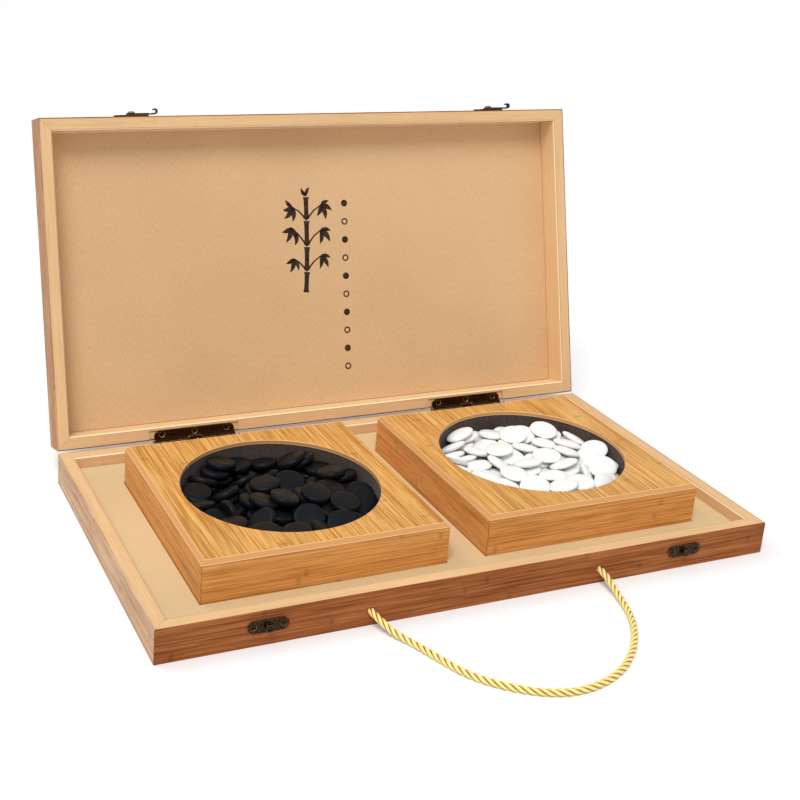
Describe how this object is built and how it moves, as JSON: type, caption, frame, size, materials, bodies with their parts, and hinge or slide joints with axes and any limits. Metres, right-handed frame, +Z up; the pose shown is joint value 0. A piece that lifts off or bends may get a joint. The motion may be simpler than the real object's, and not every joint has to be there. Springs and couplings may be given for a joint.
{
  "type": "go stone bowl set in a folding case",
  "caption": "Hinged bamboo carrying case, open, with square bowls full of go stones in its lined tray, swing latches and a twisted rope handle.",
  "frame": {"origin": "under the middle of the tray, on the surface that it rests on", "axes": "+X along the case to the right, +Y to the back where the hinges are, +Z up"},
  "size_m": [0.47, 0.4588, 0.2763],
  "materials": {
    "carbonised_bamboo": "satin lacquered, horizontal grain",
    "pale_bamboo": "satin lacquered",
    "honey_bamboo": "satin lacquered, fine straight grain",
    "cream_velour": "short soft nap",
    "cream_silk": "fine woven satin",
    "dark_felt": "matte felt",
    "antique_bronze": "darkened brass, rubbed bright at the edges",
    "black_stone": "matte",
    "white_stone": "satin",
    "gold_rope": "twisted, shiny"
  },
  "bodies": {
    "tray": {"tray_front_wall": "carbonised_bamboo", "tray_right_wall": "carbonised_bamboo", "tray_back_wall": "carbonised_bamboo", "tray_left_wall": "carbonised_bamboo", "tray_bottom_panel": "pale_bamboo", "tray_liner": "cream_velour", "hinge_left_tray_leaf": "antique_bronze", "hinge_left_pin": "antique_bronze", "latch_left_catch": "antique_bronze", "latch_left_catch_screw_1": "antique_bronze", "latch_left_catch_screw_2": "antique_bronze", "hinge_right_tray_leaf": "antique_bronze", "hinge_right_pin": "antique_bronze", "latch_right_catch": "antique_bronze", "latch_right_catch_screw_1": "antique_bronze", "latch_right_catch_screw_2": "antique_bronze", "rope_handle": "gold_rope", "rope_knot_left": "gold_rope", "rope_knot_right": "gold_rope"},
    "lid": {"lid_front_wall": "pale_bamboo", "lid_right_wall": "pale_bamboo", "lid_back_wall": "pale_bamboo", "lid_left_wall": "pale_bamboo", "lid_top_board": "carbonised_bamboo", "lid_lining_panel": "cream_silk", "hinge_left_lid_leaf": "antique_bronze", "hinge_left_lid_screw_1": "antique_bronze", "hinge_left_lid_screw_2": "antique_bronze", "hinge_left_lid_screw_3": "antique_bronze", "latch_left_plate": "antique_bronze", "latch_left_plate_screw_1": "antique_bronze", "latch_left_plate_screw_2": "antique_bronze", "latch_left_rivet": "antique_bronze", "hinge_right_lid_leaf": "antique_bronze", "hinge_right_lid_screw_1": "antique_bronze", "hinge_right_lid_screw_2": "antique_bronze", "hinge_right_lid_screw_3": "antique_bronze", "latch_right_plate": "antique_bronze", "latch_right_plate_screw_1": "antique_bronze", "latch_right_plate_screw_2": "antique_bronze", "latch_right_rivet": "antique_bronze"},
    "left_lever": {"latch_left_lever": "antique_bronze"},
    "right_lever": {"latch_right_lever": "antique_bronze"},
    "black_bowl": {"black_bowl_front_wall": "honey_bamboo", "black_bowl_right_wall": "honey_bamboo", "black_bowl_back_wall": "honey_bamboo", "black_bowl_left_wall": "honey_bamboo", "black_bowl_top_panel": "honey_bamboo", "black_bowl_base_board": "honey_bamboo", "black_bowl_felt_lining": "dark_felt", "black_stones": "black_stone"},
    "white_bowl": {"white_bowl_front_wall": "honey_bamboo", "white_bowl_right_wall": "honey_bamboo", "white_bowl_back_wall": "honey_bamboo", "white_bowl_left_wall": "honey_bamboo", "white_bowl_top_panel": "honey_bamboo", "white_bowl_base_board": "honey_bamboo", "white_bowl_felt_lining": "dark_felt", "white_stones": "white_stone"}
  },
  "joints": [
    {"name": "lid_hinge", "type": "hinge", "parent": "tray", "child": "lid", "pos_m": [0, 0.1285, 0.02465], "axis": [-1, 0, 0], "range_deg": [-105.6, 0]},
    {"name": "left_latch_swing", "type": "hinge", "parent": "lid", "child": "left_lever", "pos_m": [-0.161, 0.20278, 0.2697], "axis": [0, -0.2689, -0.9632], "range_deg": [0, 90]},
    {"name": "right_latch_swing", "type": "hinge", "parent": "lid", "child": "right_lever", "pos_m": [0.161, 0.20278, 0.2697], "axis": [0, -0.2689, -0.9632], "range_deg": [0, 90]},
    {"name": "black_bowl_lift", "type": "slide", "parent": "tray", "child": "black_bowl", "axis": [0, 0, 1], "range_m": [0, 0.12]},
    {"name": "white_bowl_lift", "type": "slide", "parent": "tray", "child": "white_bowl", "axis": [0, 0, 1], "range_m": [0, 0.12]}
  ]
}
